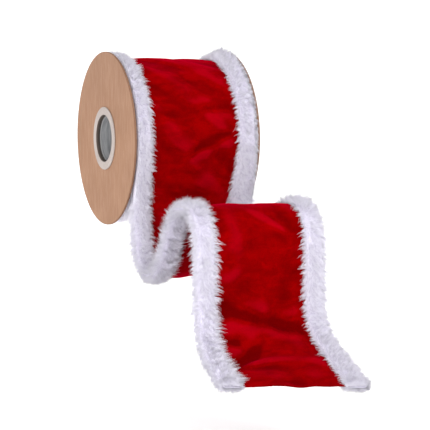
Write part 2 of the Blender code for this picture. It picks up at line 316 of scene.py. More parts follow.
def boardFinish():
    made = Finish("kraftBoard", Specular_IOR_Level=0.2)
    spot = made.place()
    broad = made.noise(spot, 24, 3, 0.6)
    grain = made.noise(made.place((1, 1, 0.12)), 520, 4, 0.65, 0.3)  # upright, as the board was rolled
    fibres = made.noise(spot, 820, 3, 0.6, 0.4)
    specks = made.noise(spot, 1500, 2, 0.5)
    away, up = made.apart(spot, 1), made.apart(spot, 2)
    radius = (away * away + up * up).power(0.5)
    colour = made.mix(broad.between(0.3, 0.7), (0.32, 0.172, 0.103), (0.362, 0.20, 0.122))
    # painted shade: the board darker towards the top, as the light falls
    colour = made.mix(up.between(-10 * mm, 70 * mm) * 0.5, colour, (0.300, 0.170, 0.110))
    colour = made.mix(grain.between(0.42, 0.68) * 0.35, colour, (0.47, 0.29, 0.20))
    colour = made.mix(fibres.between(0.5, 0.75) * 0.25, colour, (0.32, 0.165, 0.10))
    colour = made.mix(specks.between(0.64, 0.72) * 0.4, colour, (0.20, 0.10, 0.055))
    colour = made.mix(radius.between(*hub["flangeEdge"]) * 0.7, colour, (0.15, 0.075, 0.045))
    height = fibres * 0.5 + specks * 0.2 + grain * 0.3
    rough = 0.9 - fibres * 0.15
    return made.wear(Base_Color=colour, Roughness=rough, Normal=made.bump(height, 0.12 * mm, 0.5))


def ringFinish():
    made = Finish("hubPlastic", Specular_IOR_Level=0.35)
    spot = made.place()
    broad, fine = made.noise(spot, 60, 3, 0.5), made.noise(spot, 900, 2, 0.6)
    away, up = made.apart(spot, 1), made.apart(spot, 2)
    radius = (away * away + up * up).power(0.5)
    colour = made.mix(broad.between(0.3, 0.7), (0.375, 0.315, 0.288), (0.425, 0.365, 0.336))
    colour = made.mix(fine.between(0.45, 0.7) * 0.3, colour, (0.52, 0.46, 0.43))
    depth = made.apart(spot, 0).absolute()
    bore = radius.between(*hub["collarBore"]) * depth.between(*hub["rimFace"])
    shaded = made.mix(depth.between(*hub["collarEnd"]), (0.11, 0.082, 0.066), (0.045, 0.034, 0.028))
    colour = made.mix(bore * 0.95, colour, shaded)  # painted shade over the collar's bore, brown and darkest towards its inner end
    rough = fine * 0.2 + 0.4
    return made.wear(Base_Color=colour, Roughness=rough, Normal=made.bump(fine, 0.04 * mm, 0.4))


def greyBoardFinish():
    made = Finish("greyBoard", Specular_IOR_Level=0.25)
    spot = made.place()
    streaks = made.noise(made.place((1, 0.07, 0.07)), 520, 3, 0.6)  # round the tube, as it was wound
    specks = made.noise(spot, 1100, 2, 0.5)
    along = made.apart(spot, 0).absolute()
    colour = made.mix(streaks.between(0.35, 0.65), (0.24, 0.243, 0.252), (0.40, 0.405, 0.415))
    colour = made.mix(specks.between(0.6, 0.75) * 0.3, colour, (0.36, 0.36, 0.36))
    colour = made.mix(along.between(*hub["coreHighlight"]) * 0.8, colour, (0.44, 0.43, 0.43))  # painted highlight in a band near the tube's end
    colour = made.mix(along.between(*hub["coreShade"]) * 0.9, colour, (0.050, 0.038, 0.032))
    height = streaks * 0.7 + specks * 0.3
    rough = 0.85 - streaks * 0.2
    return made.wear(Base_Color=colour, Roughness=rough, Normal=made.bump(height, 0.1 * mm, 0.6))


def tapeFinish():
    made = Finish("packingTape", Specular_IOR_Level=0.5, Coat_Weight=0.3)
    ripples = made.noise(made.place((1, 1, 6)), 260, 2, 0.5)
    colour = made.mix(ripples, (0.66, 0.60, 0.46), (0.74, 0.69, 0.55))
    rough = ripples * 0.15 + 0.2
    return made.wear(Base_Color=colour, Roughness=rough, Normal=made.bump(ripples, 0.05 * mm, 0.4))


def wireFinish():
    made = Finish("edgeWire", Metallic=1.0)
    drawn = made.noise(made.place((6, 1, 1)), 900, 2, 0.6)
    colour = made.mix(drawn, (0.50, 0.50, 0.50), (0.62, 0.61, 0.60))
    return made.wear(Base_Color=colour, Roughness=drawn * 0.2 + 0.25)


finishes = {
    "velvet": velvetFinish(),
    "fur": furFinish(),
    "board": boardFinish(),
    "ring": ringFinish(),
    "greyBoard": greyBoardFinish(),
    "tape": tapeFinish(),
    "wire": wireFinish(),
}
print("finishes made")


def dress(node, finish):
    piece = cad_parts[node]
    piece.data.materials.clear()
    piece.data.materials.append(finish)


for side in ("left", "right"):
    dress(f"{side}_flange", finishes["board"])
    dress(f"{side}_hub_ring", finishes["ring"])
dress("core_tube", finishes["greyBoard"])
dress("start_tape", finishes["tape"])


def newMesh(name, points, faces, finish):
    mesh = bpy.data.meshes.new(name)
    mesh.from_pydata(points.tolist(), [], faces if isinstance(faces, list) else faces.tolist())
    mesh.update()
    mesh.shade_smooth()
    mesh.materials.append(finish)
    piece = bpy.data.objects.new(name, mesh)
    bpy.context.scene.collection.objects.link(piece)
    return piece


def addAttribute(piece, name, values):
    made = piece.data.attributes.new(name, "FLOAT", "POINT")
    made.data.foreach_set("value", np.asarray(values, np.float32))


def gridFaces(rows, columns, closed):
    # quads of a grid of points, row by row, which may close across its columns
    i, j = np.meshgrid(np.arange(rows - 1), np.arange(columns - (not closed)), indexing="ij")
    k = (j + 1) % columns
    corners = [i * columns + j, i * columns + k, (i + 1) * columns + k, (i + 1) * columns + j]
    return np.stack(corners, -1).reshape(-1, 4)


# ---- the velvet

velvet = {
    "thickness": 1.3 * mm,
    "cell": 2.6 * mm,  # of the simulated cloth
    "step": 1.05 * mm,  # of the finished cloth
    "scale": 10,  # the simulated cloth is this much bigger, where the solver is steadier
    "spare": 0.012,  # how much more cloth there is than room for it
    "pulled": 3.0 * mm,  # how far one hem runs ahead of the other, which sets the creases aslant
    "pullLength": 95 * mm,  # over which the pull changes
    "bending": 45.0,
    "frames": 32,
    "simulatedHeight": 0.6,
    "mostRaised": 2.6 * mm,
    "crown": 1.3 * mm,  # how far the middle stands proud of the hems
    "sag": 6.0 * mm,  # of the middle at the bottom of the loop
    "sagPlace": 88 * mm,
    "sagLength": 24 * mm,
    "hemShort": 2.6 * mm,  # how far the velvet stops before the cut, inside the trim
    "ridgeReach": 9 * mm,  # a ridge stands proud of the cloth this far round it
    "ridgeRise": 0.9 * mm,
}

# creases that show: three places on each, in millimetres along and across the ribbon,
# then its half width, and its height, below 0 for a valley
creases = [
    ((-27, -33), (-33, 4), (-38, 36), 4.2, -1.9),
    ((-6, 36), (-1, 14), (10, -8), 3.4, 1.5),
    ((-14, 36), (-10, 16), (2, -4), 3.2, -1.9),
    ((-3, -28), (3, -12), (5, 4), 4.5, -1.0),
    ((-70, -20), (-66, 4), (-74, 26), 6.0, 1.0),
    ((-50, 34), (-48, 14), (-44, -4), 5.0, -0.7),
    ((24, -30), (27, -6), (20, 18), 6.0, 0.9),
    ((36, -26), (34, 0), (40, 24), 5.0, -0.8),
    ((221, -10), (232, 8), (245, 27), 2.4, 1.7),
    ((254, -14), (250, 6), (252, 28), 8.0, -1.3),
    ((270, -34), (272, -10), (266, 12), 7.0, 0.9),
    ((292, -34), (303, -8), (317, 32), 6.0, -2.8),
    ((316, -36), (320, -26), (321, -18), 4.0, -1.4),
    ((348, -38), (337, -20), (323, -4), 5.0, -2.2),
    ((344, -30), (347, 6), (363, 36), 3.4, 2.4),
    ((372, -20), (376, 8), (388, 34), 6.0, -1.3),
]


def crumple(lengthAlong):
    # the ribbon laid flat with its hems held, and more cloth than room: how high it buckles
    half, scale = ribbon["halfWidth"] - ribbon["hemDepth"], velvet["scale"]
    rows = int(round(lengthAlong / velvet["cell"])) + 1
    columns = int(round(2 * half / velvet["cell"])) + 1
    alongPlaces, acrossPlaces = np.linspace(0, lengthAlong, rows), np.linspace(-half, half, columns)
    along, across = np.meshgrid(alongPlaces, acrossPlaces, indexing="ij")
    seen = ribbon["halfWidth"] - ribbon["furBand"]
    loose = smoothStep((seen + 2 * mm - np.abs(across)) / (7 * mm))
    start = dice.normal(0, 1, along.shape)
    for _ in range(8):
        beside = np.roll(start, 1, 1) + np.roll(start, -1, 1)
        start = (start + np.roll(start, 1, 0) + np.roll(start, -1, 0) + beside) / 5
    start *= 0.4 * mm * loose / start.std()
    flat = np.stack([across, along, start], -1).reshape(-1, 3) * scale
    bpy.ops.object.select_all(action="DESELECT")
    mesh = bpy.data.meshes.new("clothFlat")
    mesh.from_pydata(flat.tolist(), [], gridFaces(rows, columns, False).tolist())
    cloth = bpy.data.objects.new("clothFlat", mesh)
    bpy.context.scene.collection.objects.link(cloth)
    hems = cloth.vertex_groups.new(name="hems")
    held = np.flatnonzero((np.abs(across) > seen + 2 * mm).ravel())
    hems.add(held.tolist(), 1.0, "REPLACE")
    cloth.shape_key_add(name="asLaid")
    pulled = cloth.shape_key_add(name="asPulled")
    pullPlaces = np.arange(-1, 20) * velvet["pullLength"]
    changes = np.interp(along[:, 0], pullPlaces, dice.uniform(-0.4, 1.6, len(pullPlaces)))
    moved = flat.copy()
    moved[:, 1] += (across / half * changes[:, None] * velvet["pulled"]).ravel() * scale
    pulled.data.foreach_set("co", moved.ravel())
    for frameNumber, share in ((1, 0.0), (velvet["frames"] * 2 // 3, 1.0)):
        pulled.value = share
        pulled.keyframe_insert("value", frame=frameNumber)
    modifier = cloth.modifiers.new("cloth", "CLOTH")
    settings = modifier.settings
    settings.quality = 6
    settings.mass = 0.3
    settings.tension_stiffness = settings.compression_stiffness = 15
    settings.shear_stiffness = 5
    settings.bending_stiffness = velvet["bending"]
    settings.shrink_min = -velvet["spare"]
    settings.vertex_group_mass = "hems"
    settings.effector_weights.gravity = 0
    modifier.point_cache.frame_start = 1
    modifier.point_cache.frame_end = velvet["frames"]
    for step in range(1, velvet["frames"] + 1):
        bpy.context.scene.frame_set(step)
    shape = cloth.evaluated_get(bpy.context.evaluated_depsgraph_get()).data
    found = np.zeros(len(shape.vertices) * 3)
    shape.vertices.foreach_get("co", found)
    height = found.reshape(rows, columns, 3)[..., 2] / scale
    bpy.data.objects.remove(cloth)
    bpy.context.scene.frame_set(1)
    print("cloth heights in mm", np.round(np.percentile(height / mm, (1, 25, 50, 75, 99)), 2))
    return height * velvet["simulatedHeight"], alongPlaces, acrossPlaces


def onGrid(table, rowPlaces, columnPlaces, rows, columns):
    # a smooth reading of a grid's values at other places
    i = np.clip(np.searchsorted(rowPlaces, rows) - 1, 0, len(rowPlaces) - 2)
    j = np.clip(np.searchsorted(columnPlaces, columns) - 1, 0, len(columnPlaces) - 2)
    s = np.clip((rows - rowPlaces[i]) / (rowPlaces[i + 1] - rowPlaces[i]), 0, 1)
    t = np.clip((columns - columnPlaces[j]) / (columnPlaces[j + 1] - columnPlaces[j]), 0, 1)
    low = table[i, j] * (1 - t) + table[i, j + 1] * t
    return low * (1 - s) + (table[i + 1, j] * (1 - t) + table[i + 1, j + 1] * t) * s


clothLength = endLength - turnStart
clothHeight, clothAlong, clothAcross = crumple(clothLength)
print("velvet crumpled")


def creasesAt(length, across):
    # the creases' heights, each along its own curve and fading at its two ends
    height = 0 * length
    share = np.linspace(0, 1, 25)
    for first, middle, last, halfWidth, rise in creases:
        first, middle, last = (np.array(place) * mm for place in (first, middle, last))
        bend = np.outer((1 - share) ** 2, first) + np.outer(share**2, last)
        bend += np.outer(2 * share * (1 - share), 2 * middle - (first + last) / 2)
        near = np.abs(length - middle[0]) < 60 * mm
        gap = np.hypot(length[near][:, None] - bend[:, 0], across[near][:, None] - bend[:, 1])
        closest = gap.argmin(axis=1)
        fade = smoothStep(share[closest] / 0.2) * smoothStep((1 - share[closest]) / 0.2)
        reach = gap[np.arange(len(closest)), closest] / (halfWidth * mm)
        height[near] += rise * mm * np.exp(-(reach**2)) * (0.35 + 0.65 * fade)
    return height


def raisedAt(length, across):
    raised = onGrid(clothHeight, clothAlong, clothAcross, length - turnStart, across)
    seen = ribbon["halfWidth"] - ribbon["furBand"] + 3 * mm
    loose = smoothStep((seen - np.abs(across)) / (8 * mm))
    raised = raised + creasesAt(length, across) * loose
    most = velvet["mostRaised"]
    raised = np.tanh(raised / most) * most
    # on the roll the cloth can hardly sink, and stands proud in the middle
    onRoll = 1 - smoothStep(length / (60 * mm))
    shallow = np.where(raised < 0, np.tanh(raised / (1.4 * mm)) * 1.4 * mm, raised)
    middle = np.clip(1 - (across / ribbon["halfWidth"]) ** 2, 0, 1)
    crown = velvet["crown"] * np.clip(1 - (across / seen) ** 2, 0, 1)
    sag = velvet["sag"] * middle * np.exp(-(((length - velvet["sagPlace"]) / velvet["sagLength"]) ** 2))
    return raised * (1 - onRoll) + (shallow + crown) * onRoll - sag


def blurred(table, reach):
    # a grid's values, each the mean of those around it
    for axis in (0, 1):
        for _ in range(2):
            ends = [(reach, reach) if i == axis else (0, 0) for i in (0, 1)]
            total = np.cumsum(np.pad(table, ends, mode="edge"), axis=axis)
            high = np.take(total, np.arange(2 * reach, total.shape[axis]), axis=axis)
            low = np.take(total, np.arange(0, total.shape[axis] - 2 * reach), axis=axis)
            table = (high - low) / (2 * reach)
    return table


def velvetLength(name, first, last, nodes):
    # a closed sheet of the velvet from one place along the ribbon to another
    half = ribbon["halfWidth"] - ribbon["hemDepth"]
    step = velvet["step"]
    acrossPlaces = np.linspace(-half, half, int(2 * half / step) + 1)
    ends = cutLength(acrossPlaces, 0.0) if last is None else np.full(len(acrossPlaces), last)
    if last is None:  # inside the trim the velvet stops a little short of the cut
        ends = ends - velvet["hemShort"] * smoothStep((np.abs(acrossPlaces) - 36 * mm) / (4 * mm))
    rows = int((ends.max() - first) / step) + 1
    share = np.linspace(0, 1, rows)[:, None]
    length = first + share * (ends - first)
    across = np.broadcast_to(acrossPlaces, length.shape)
    raised = raisedAt(length, across)
    thick = velvet["thickness"] / 2
    top = onRibbon(length, across, raised + thick)
    bottom = onRibbon(length, across, raised - thick)
    columns = len(acrossPlaces)
    ring = np.concatenate([top, bottom[:, ::-1]], axis=1)
    faces = gridFaces(rows, 2 * columns, True)[:, ::-1].tolist()
    for row, flip in ((0, False), (rows - 1, True)):
        base = row * 2 * columns
        for j in range(columns - 1):
            quad = [base + j, base + j + 1, base + 2 * columns - 2 - j, base + 2 * columns - 1 - j]
            faces.append(quad[::-1] if flip else quad)
    piece = newMesh(name, ring.reshape(-1, 3), faces, finishes["velvet"])
    back = np.zeros((rows, 2 * columns))
    back[:, columns:] = 1
    addAttribute(piece, "back", back.ravel())
    # how proud the cloth stands of the cloth round it, for the painted highlight on ridges and painted
    # shade in valleys
    proud = (raised - blurred(raised, int(velvet["ridgeReach"] / step))) / velvet["ridgeRise"]
    addAttribute(piece, "ridge", np.concatenate([proud, -proud[:, ::-1]], axis=1).clip(-1, 1).ravel())
    flat = np.stack([length, across], -1)
    flat = np.concatenate([flat, flat[:, ::-1]], axis=1).reshape(-1, 2)
    layer = piece.data.uv_layers.new(name="cloth")
    corners = np.zeros(len(piece.data.loops), int)
    piece.data.loops.foreach_get("vertex_index", corners)
    layer.data.foreach_set("uv", flat[corners].ravel())
    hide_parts(*nodes)
    return piece, (2 * half, float(ends.mean() - first))


upper, upperFlat = velvetLength("upperVelvet", turnStart, splitLength, ["loop_velvet"])
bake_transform(upper)
lower, lowerFlat = velvetLength("lowerVelvet", splitLength, None, ["loop_velvet", "tail_velvet"])
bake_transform(lower)
print("velvet laid", [round(x, 4) for x in (*upperFlat, *lowerFlat)])

# ---- the fur trim

fur = {
    "faceDepth": 6.5 * mm,  # to the tips of the pile
    "pressedDepth": 1.65 * mm,  # of its back, where the roll presses on it
    "padShare": 0.48,  # how much of that depth is the dense pile underneath
    "padInset": 2.8 * mm,  # from the trim's inner line to the pad
    "woundInset": 4.3 * mm,  # the same where the winding has pressed the trim together
    "padOuter": 0.9 * mm,
    "leftRise": 0.5 * mm,  # how far the pile bulges up beside a flange
    "rightRise": 4.4 * mm,
    "slotHalf": 1.05 * mm,
    "slotDepth": 2.0 * mm,
    "arch": 14,  # steps over the face, and as many over the back
    "lumps": 0.25 * mm,
    "clump": 3.0 * mm,
    "gather": 0.3,  # how far the tips of a clump draw together
    "tufted": 0.7,  # the same along the trim's inner line
    "strand": 0.6,  # how much of its own roundness a hair shows; the rest is the pad's
    "rightSpread": 6.0 * mm,
    "endRound": 5.0 * mm,
    "endThin": 24 * mm,  # over which the back thins towards the cut
    "endShare": 0.13,  # of the hairs are set in the rounded end
    "flangeRoom": 0.7 * mm,  # between the flanges, beyond the ribbon's edge
    "rimRadius": 70.2 * mm,  # beyond which hairs may spill over a flange
    "opening": (80 * mm, 100 * mm),  # from where, and over how long, the trim springs open
    "stepAlong": 1.6 * mm,  # between the pad's rows
    "rollBackShare": 0.1,  # of the hairs on the back are kept where the roll hides it
    "clumpLean": 0.2,  # a hair leans with its clump, then by itself, then down the ribbon
    "strayLean": 0.14,
    "downLean": 0.65,
    "pressedSize": 0.35,  # of a hair where the roll presses on it
}

# the short straight hairs that fill the pile, and the longer bent ones that lie over them
underHair = {"bend": False, "perSquareMm": 3.2, "length": 4.2 * mm, "radius": 0.18 * mm}
guardHair = {"bend": True, "perSquareMm": 0.85, "length": 7.0 * mm, "radius": 0.19 * mm}


def backDepthAt(length):
    # thin where the roll presses on it, and full where it hangs free
    off = np.maximum(np.hypot(read("y", length), read("z", length)) - ribbon["rollRadius"], 0)
    pressed = np.minimum(fur["faceDepth"], fur["pressedDepth"] + off / 2)
    depth = np.where(length > crestLength / 2, fur["faceDepth"], pressed)
    return np.where(length < 0, fur["pressedDepth"], depth)


def padSection():
    # the pad's outline: share of its width from the inner line, share of its depth, face or back
    arch = math.pi * (1 - np.arange(fur["arch"] + 1) / fur["arch"])
    across = 0.5 + 0.5 * np.sign(np.cos(arch)) * np.abs(np.cos(arch)) ** 0.6
    share = np.abs(np.sin(arch)) ** 0.6
    width = ribbon["furBand"] - fur["padOuter"]
    slotEnd = 1 - (ribbon["hemDepth"] - fur["slotDepth"] - fur["padOuter"]) / width
    face = [(a, s, 1) for a, s in zip(across, share)]
    back = [(a, s, -1) for a, s in zip(across[::-1], share[::-1])]
    return np.array([*face, *back, (slotEnd, 0, -1), (slotEnd, 0, 1)])


padOutline = padSection()


def opened(length):
    return smoothStep((length - fur["opening"][0]) / fur["opening"][1])


def padAcross(length, share, side):
    # from the ribbon's middle; the trim is narrower on the roll, and widens as it hangs free
    inset = fur["woundInset"] + (fur["padInset"] - fur["woundInset"]) * opened(length)
    if side > 0:  # this edge springs open just where it leaves the roll
        opens = smoothStep((length + 6 * mm) / (54 * mm))
        closes = smoothStep((length - 50 * mm) / (60 * mm))
        inset = inset - fur["rightSpread"] * opens * (1 - closes)
    outer = ribbon["halfWidth"] - fur["padOuter"]
    inner = ribbon["halfWidth"] - ribbon["furBand"] + inset
    return side * (inner + (outer - inner) * share)


def padHeight(length, share, side):
    slot, fill = fur["slotHalf"], fur["padShare"]
    face = slot + (fur["faceDepth"] - slot) * fill * share
    back = slot + np.maximum(backDepthAt(length) - slot, 0.2 * mm) * fill * share
    return np.where(side > 0, face, -back)


def makeHair(bend):
    # a three-sided spike, with a ring halfway up it if it is to bend
    bpy.ops.object.select_all(action="DESELECT")
    bpy.ops.mesh.primitive_cone_add(vertices=3, radius1=1, radius2=0, depth=1, location=(0, 0, 0.5))
    spike = bpy.context.object
    bpy.ops.object.transform_apply(location=True)
    if bend:
        bpy.ops.object.mode_set(mode="EDIT")
        bpy.ops.mesh.select_all(action="SELECT")
        bpy.ops.mesh.bisect(plane_co=(0, 0, 0.5), plane_no=(0, 0, 1))
        bpy.ops.object.mode_set(mode="OBJECT")
    points = np.array([v.co for v in spike.data.vertices])
    points[np.isclose(points[:, 2], 0.5, atol=0.01), :2] *= 1.6
    faces = [list(f.vertices) for f in spike.data.polygons]
    bpy.data.objects.remove(spike)
    return points, faces


for kind in (underHair, guardHair):
    kind["points"], kind["faces"] = makeHair(kind["bend"])


def unit(ways):
    return ways / np.linalg.norm(ways, axis=1)[:, None]


def growHairs(kind, roots, outward, lean, size, gather):
    # copies of a hair, one to each root: it starts outward, further up leans over, and its
    # tip is drawn by gather towards the middle of its clump
    count, model = len(roots), kind["points"]
    lower, upper = unit(outward + lean * 0.4), unit(outward * 0.55 + lean)
    if not kind["bend"]:
        lower = upper = unit(outward * 0.8 + lean)
    aside = unit(np.cross(lower, dice.normal(0, 1, (count, 3))))
    other = np.cross(lower, aside)
    radius = kind["radius"] * dice.uniform(0.75, 1.25, count)
    points, radial = np.zeros((count, len(model), 3)), np.zeros((count, len(model), 3))
    for i, (x, y, z) in enumerate(model):
        radial[:, i] = (aside * x + other * y) / max(math.hypot(x, y), 0.01)
        below, above = min(z, 0.5) * size, max(z - 0.5, 0) * size
        points[:, i] = roots + lower * below[:, None] + upper * above[:, None] + gather * z**1.3
        points[:, i] += (aside * x + other * y) * radius[:, None]
    first = np.arange(count)[:, None] * len(model)
    faces = [(first + np.array(face)).tolist() for face in kind["faces"]]
    return points.reshape(-1, 3), sum(faces, []), radial.reshape(-1, 3)


class Trim:
    # the fur on one edge of the ribbon, from one place along it to another, or to the cut
    def __init__(self, side, first, last):
        self.side, self.first, self.atCut = side, first, last is None
        self.across, self.share, self.face = padOutline.T
        self.columns = len(self.across)
        self.nearEnd = np.full(self.columns, 0.0 if self.atCut else last)
        if self.atCut:
            far = np.full(self.columns, endLength)
            heights = padHeight(far, self.share, self.face)
            self.nearEnd = cutLength(padAcross(far, self.across, side), heights)
        self.rows = int((self.nearEnd.max() - first) / fur["stepAlong"]) + 1
        # hairs grow on the pad's outside, measured round it from the trim's inner line
        self.outside = slice(0, 2 * fur["arch"] + 2)
        far = np.full(self.columns, crestLength)
        a = padAcross(far, self.across, side)[self.outside]
        h = padHeight(far, self.share, self.face)[self.outside]
        self.girth = np.concatenate([[0], np.cumsum(np.hypot(np.diff(a), np.diff(h)))])

    def heightAt(self, lengths, ends, places, shares, faces):
        # the pile bulges up beside a flange, thins at the back towards the cut, and is round there
        away = np.hypot(read("y", lengths), read("z", lengths))
        beside = smoothStep((places - 0.55) / 0.35) * (1 - smoothStep((away - 65 * mm) / (8 * mm)))
        heights = padHeight(lengths, shares + (shares**0.25 - shares) * beside, faces)
        rise = fur["rightRise"] if self.side > 0 else fur["leftRise"]
        raised = heights + rise * beside * shares**0.25
        if not self.atCut:
            return np.where(faces < 0, heights, raised)
        thin = smoothStep((lengths - self.nearEnd.mean()) / fur["endThin"] + 1)
        heights = np.where(faces < 0, heights * (1 - 0.7 * thin), raised)
        past = np.clip(1 - (ends - lengths) / fur["endRound"], 0, 1)
        return heights * np.sqrt(1 - past * past * 0.992)

    def layPad(self):
        length = self.first + np.linspace(0, 1, self.rows)[:, None] * (self.nearEnd - self.first)
        uneven = dice.normal(0, 1, length.shape)
        for axis in (0, 1, 0, 1, 0):
            uneven = (uneven + np.roll(uneven, 1, axis) + np.roll(uneven, -1, axis)) / 3
        uneven *= fur["lumps"] / uneven.std()
        height = self.heightAt(length, self.nearEnd, self.across, self.share, self.face)
        height = height + uneven * self.share * self.face
        points = onRibbon(length, padAcross(length, self.across, self.side), height)
        faces = gridFaces(self.rows, self.columns, True)
        faces = (faces[:, ::-1] if self.side > 0 else faces).tolist()
        lastRow = (self.rows - 1) * self.columns
        caps = [list(range(self.columns)), list(range(lastRow, lastRow + self.columns))]
        caps[0 if self.side < 0 else 1].reverse()
        return points.reshape(-1, 3), faces + caps

    def outline(self, around, table):
        return np.interp(around, self.girth, table[self.outside])

    def rootAt(self, lengths, around, faces, sunk):
        places, ends = self.outline(around, self.across), self.outline(around, self.nearEnd)
        shares = self.outline(around, self.share) * sunk
        heights = self.heightAt(lengths, ends, places, shares, faces) * 0.93
        return onRibbon(lengths, padAcross(lengths, places, self.side), heights)

    def scatter(self, kind):
        # evenly by area: how far along and round the trim, on which face, and if at its cut end
        span = float(self.nearEnd.mean() - self.first)
        count = int(self.girth[-1] * span / mm / mm * kind["perSquareMm"])
        where, around = dice.random(count), dice.random(count) * self.girth[-1]
        face = np.where(self.outline(around, self.face) > 0, 1, -1)
        if self.first < 0:  # on the roll the back is pressed flat, so nearly all grow on the face
            keep = (face > 0) | (dice.random(count) < fur["rollBackShare"])
            where, around, face = where[keep], around[keep], face[keep]
            count = len(where)
        ends = self.outline(around, self.nearEnd)
        length = self.first + where * (ends - self.first)
        atEnd = np.zeros(count, bool)
        if self.atCut:  # the cut end is thick with hairs too
            atEnd = dice.random(count) < fur["endShare"]
            length = np.where(atEnd, ends - fur["endRound"] * dice.random(count) ** 2, length)
        return length, around, face, atEnd

    def grow(self, kind, clumps):
        # all hairs of one kind: their points, faces, shading normals, heights and tints
        length, around, face, atEnd = self.scatter(kind)
        count = len(length)
        roots = self.rootAt(length, around, face, np.where(atEnd, dice.random(count), 1))
        # outward from the pad: up off the ribbon, and sideways towards its edges
        up = np.stack([0 * length, read("upY", length), read("upZ", length)], -1)
        along = np.stack([0 * length, -up[:, 2], up[:, 1]], -1)
        offCentre = self.outline(around, self.across) * 2 - 1
        outward = up * (face * np.maximum(self.outline(around, self.share), 0.25))[:, None]
        outward[:, 0] = self.side * np.sign(offCentre) * np.abs(offCentre) ** 3 * 1.1
        # neighbouring hairs lean together in clumps, down the ribbon and over the velvet
        placeA = length / fur["clump"] + dice.random(count) * 0.3
        placeB = around / fur["clump"] + dice.random(count) * 0.3 + (np.floor(placeA) % 2) * 0.5
        cellA, cellB = np.floor(placeA).astype(int), np.floor(placeB).astype(int)
        clump = clumps[(cellA * 73 + cellB * 1031) % len(clumps)]
        normal = unit(unit(outward) + clump * 0.12 + dice.normal(0, 0.16, (count, 3)))
        stray = dice.normal(0, fur["strayLean"], (count, 3))
        lean = clump * fur["clumpLean"] + stray + along * fur["downLean"]
        free = opened(length)
        lean[:, 0] += self.side * offCentre * (0.1 + 0.3 * free)
        size = kind["length"] * dice.uniform(0.75, 1.1, count) * (0.9 + 0.12 * clump[:, 0].clip(-1, 2))
        inward = smoothStep((-0.5 - offCentre) / 0.4) * (face > 0)
        size *= 1 + 0.15 * inward * free
        # the tips are drawn towards the middle of their clump
        middleA = (cellA + 0.5 - placeA) * fur["clump"]
        middleB = (cellB + 0.5 - placeB) * fur["clump"] + 0.5 * fur["clump"] * (np.floor(placeA) % 2)
        nextTo = np.clip(around + middleB, 0, self.girth[-1])
        sameFace = np.where(self.outline(nextTo, self.face) > 0, 1, -1) == face
        clumpRoots = self.rootAt(length + middleA, nextTo, face, 1)
        drawn = fur["gather"] + (fur["tufted"] - fur["gather"]) * inward
        gather = (clumpRoots - roots) * (drawn * (sameFace & ~atEnd))[:, None]
        pressed = (face < 0) & (backDepthAt(length) < 5 * mm)
        size = np.where(pressed, size * fur["pressedSize"], size)
        # beside a flange they stand straight up
        outer = (np.hypot(roots[:, 1], roots[:, 2]) < 76 * mm) & (offCentre > 0.6)
        outward[outer] = up[outer]
        lean[outer] *= 0.85
        lean[outer, 0] = 0.2 * max(self.side, 0)
        size[outer] *= 1.0 if self.side > 0 else 0.85
        ways = unit(outward)
        lean -= ways * np.minimum((lean * ways).sum(axis=1), 0)[:, None]  # never back into the pad
        if self.atCut:  # at the rounded end they splay out along the ribbon
            toEnd = (self.outline(around, self.nearEnd) - length) / fur["endRound"]
            turned = 1 - np.clip(toEnd, 0, 1)
            turned = (smoothStep(turned) * turned)[:, None]
            normal = unit(normal * (1 - 0.5 * turned) + along * 0.6 * turned)
            outward = outward * (1 - 0.5 * turned) + along * 1.1 * turned
            lean = lean * (1 - turned) + dice.normal(0, 0.3, (count, 3)) * turned
            size = size * (1 - 0.45 * turned[:, 0])
        hairs, faces, radial = growHairs(kind, roots, outward, lean, size, gather)
        # none reaches through a flange, though some spill over its rim
        radius = np.hypot(hairs[:, 1], hairs[:, 2])
        most = ribbon["halfWidth"] + fur["flangeRoom"] + np.maximum(radius - fur["rimRadius"], 0) * 2.5
        hairs[:, 0] = np.clip(hairs[:, 0], -most, most)
        each = len(kind["points"])
        tint = dice.random(count) * 0.6 + (cellA * 7 + cellB * 13) % 11 / 11 * 0.4
        normals = unit(np.repeat(normal, each, axis=0) + radial * fur["strand"])
        return hairs, faces, normals, np.tile(kind["points"][:, 2], count), np.repeat(tint, each)


def shadeHairs(piece, padRows, normals):
    # the hairs are shaded as one soft surface, and the pad's two end faces flat
    first = len(piece.data.vertices) - len(normals)
    found = np.zeros(len(piece.data.vertices) * 3, np.float32)
    piece.data.vertices.foreach_get("normal", found)
    found = found.reshape(-1, 3)
    found[first:] = normals
    corners = np.zeros(len(piece.data.loops), int)
    piece.data.loops.foreach_get("vertex_index", corners)
    found = found[corners]
    for cap in piece.data.polygons[padRows : padRows + 2]:
        found[list(cap.loop_indices)] = cap.normal
    piece.data.normals_split_custom_set(found.tolist())


def trimLength(name, side, first, last, nodes):
    # the trim on one edge of the ribbon from one place to another: its pad, then its hairs
    trim = Trim(side, first, last)
    pad, faces = trim.layPad()
    points, normals = [pad], []
    # the pad takes the hairs' root colour: painted shade under the pile
    tips, tints = [np.full(len(pad), 0.04)], [np.full(len(pad), 0.5)]
    clumps = dice.normal(0, 1, (4096, 3))
    for kind in (underHair, guardHair):
        hairs, hairFaces, hairNormals, hairTips, hairTints = trim.grow(kind, clumps)
        base = sum(len(p) for p in points)
        faces += [[v + base for v in f] for f in hairFaces]
        points.append(hairs)
        normals.append(hairNormals)
        tips.append(hairTips)
        tints.append(hairTints)
    piece = newMesh(name, np.concatenate(points), faces, finishes["fur"])
    tips, tints = np.concatenate(tips), np.concatenate(tints)
    addAttribute(piece, "tip", tips)
    addAttribute(piece, "tint", tints)
    mapHairs(piece, tips, tints)
    shadeHairs(piece, (trim.rows - 1) * trim.columns, np.concatenate(normals))
    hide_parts(*nodes)
    print(name, sum(len(f) - 2 for f in faces), "triangles")
    return piece


